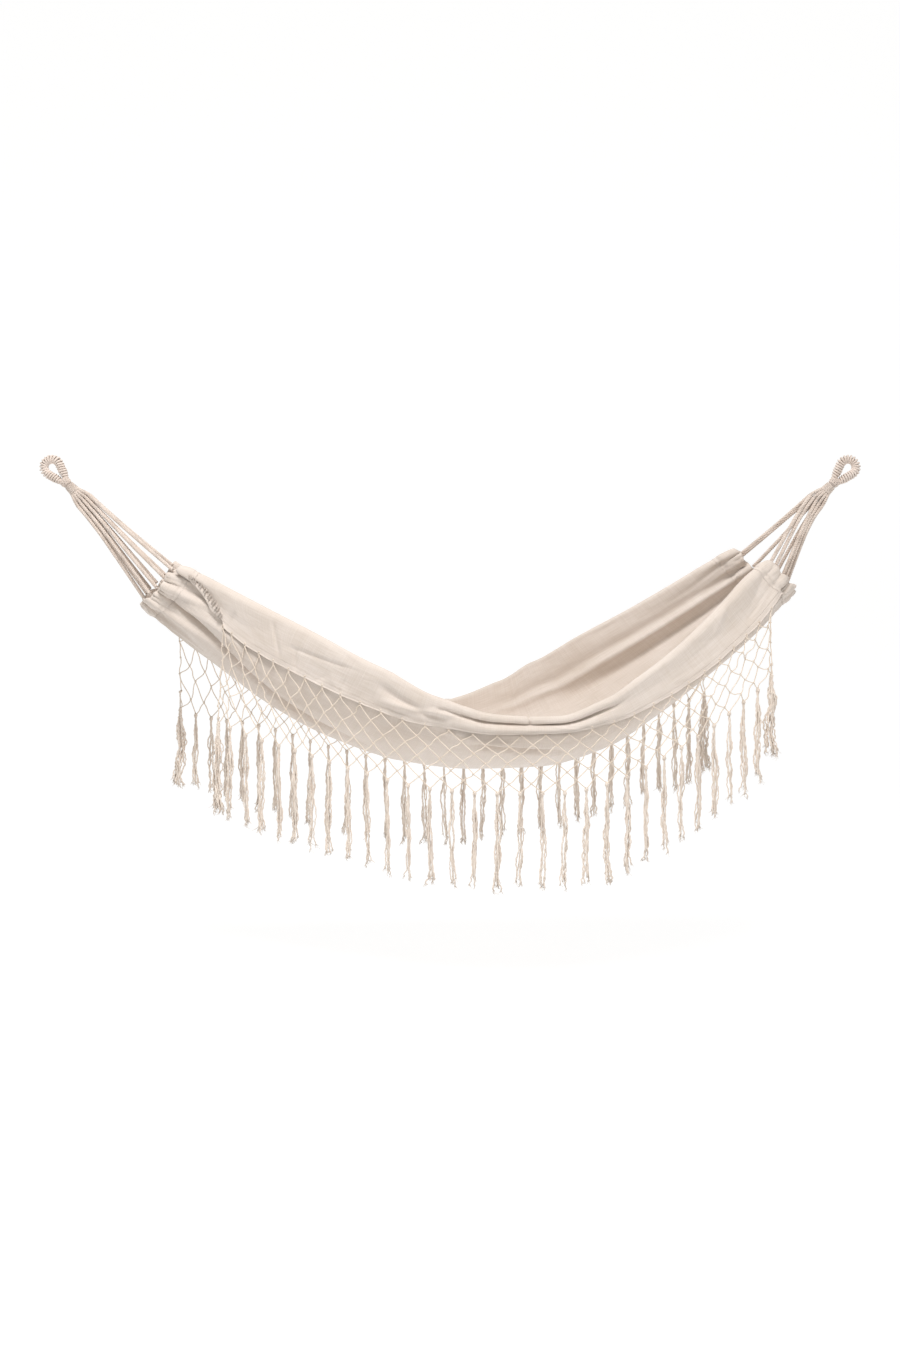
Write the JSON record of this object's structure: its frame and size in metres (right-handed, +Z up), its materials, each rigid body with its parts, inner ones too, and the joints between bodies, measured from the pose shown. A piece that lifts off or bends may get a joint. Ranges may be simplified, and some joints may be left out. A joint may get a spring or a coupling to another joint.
{
  "type": "hammock",
  "caption": "Cotton canvas hammock hung from two whipped rope eyes by fanned cord harnesses, with knotted diamond nets and tassels along both long edges",
  "frame": {"origin": "The point where the left hook bears on the inside of the left whipped eye.", "axes": "+X runs to the right eye, the long way of the hammock; +Z is up; -Y is the front, seen from the side with the folded edge."},
  "size_m": [2.1336, 0.5202, 1.0802],
  "materials": {
    "canvas": "plain-woven undyed cotton canvas",
    "rope": "laid undyed cotton cord",
    "whipping": "tight turns of cotton twine",
    "net_twine": "thin twisted cotton twine",
    "tassel_yarn": "loose twisted cotton yarn"
  },
  "bodies": {
    "hangers": {"left_eye_whipping": "whipping", "right_eye_whipping": "whipping", "left_throat_seizing": "whipping", "right_throat_seizing": "whipping", "left_eye_core": "rope", "right_eye_core": "rope"},
    "sling": {"bed_cloth": "canvas", "left_end_hem": "canvas", "right_end_hem": "canvas", "left_harness_crown": "rope", "right_harness_crown": "rope", "left_harness_cord_1": "rope", "left_harness_cord_2": "rope", "left_harness_cord_3": "rope", "left_harness_cord_4": "rope", "left_harness_cord_5": "rope", "left_harness_cord_6": "rope", "left_harness_cord_7": "rope", "left_harness_cord_8": "rope", "left_harness_cord_9": "rope", "left_harness_cord_10": "rope", "right_harness_cord_1": "rope", "right_harness_cord_2": "rope", "right_harness_cord_3": "rope", "right_harness_cord_4": "rope", "right_harness_cord_5": "rope", "right_harness_cord_6": "rope", "right_harness_cord_7": "rope", "right_harness_cord_8": "rope", "right_harness_cord_9": "rope", "right_harness_cord_10": "rope", "front_net": "net_twine", "rear_net": "net_twine", "front_tassels": "tassel_yarn", "rear_tassels": "tassel_yarn"},
    "front_left_tassel": {"front_left_corner_tassel": "tassel_yarn"},
    "front_right_tassel": {"front_right_corner_tassel": "tassel_yarn"},
    "rear_left_tassel": {"rear_left_corner_tassel": "tassel_yarn"},
    "rear_right_tassel": {"rear_right_corner_tassel": "tassel_yarn"}
  },
  "joints": [
    {"name": "swing", "type": "hinge", "parent": "hangers", "child": "sling", "pos_m": [0.04229, 0, -0.04528], "axis": [1, 0, 0], "range_deg": [-40, 40]},
    {"name": "front_left_tassel_sway", "type": "hinge", "parent": "sling", "child": "front_left_tassel", "pos_m": [0.458, -0.1059, -0.6407], "axis": [1, 0, 0], "range_deg": [-45, 15]},
    {"name": "front_right_tassel_sway", "type": "hinge", "parent": "sling", "child": "front_right_tassel", "pos_m": [1.85, -0.1003, -0.5073], "axis": [1, 0, 0], "range_deg": [-45, 15]},
    {"name": "rear_left_tassel_sway", "type": "hinge", "parent": "sling", "child": "rear_left_tassel", "pos_m": [0.322, 0.083, -0.5974], "axis": [1, 0, 0], "range_deg": [-15, 45]},
    {"name": "rear_right_tassel_sway", "type": "hinge", "parent": "sling", "child": "rear_right_tassel", "pos_m": [1.725, 0.1224, -0.6089], "axis": [1, 0, 0], "range_deg": [-15, 45]}
  ]
}
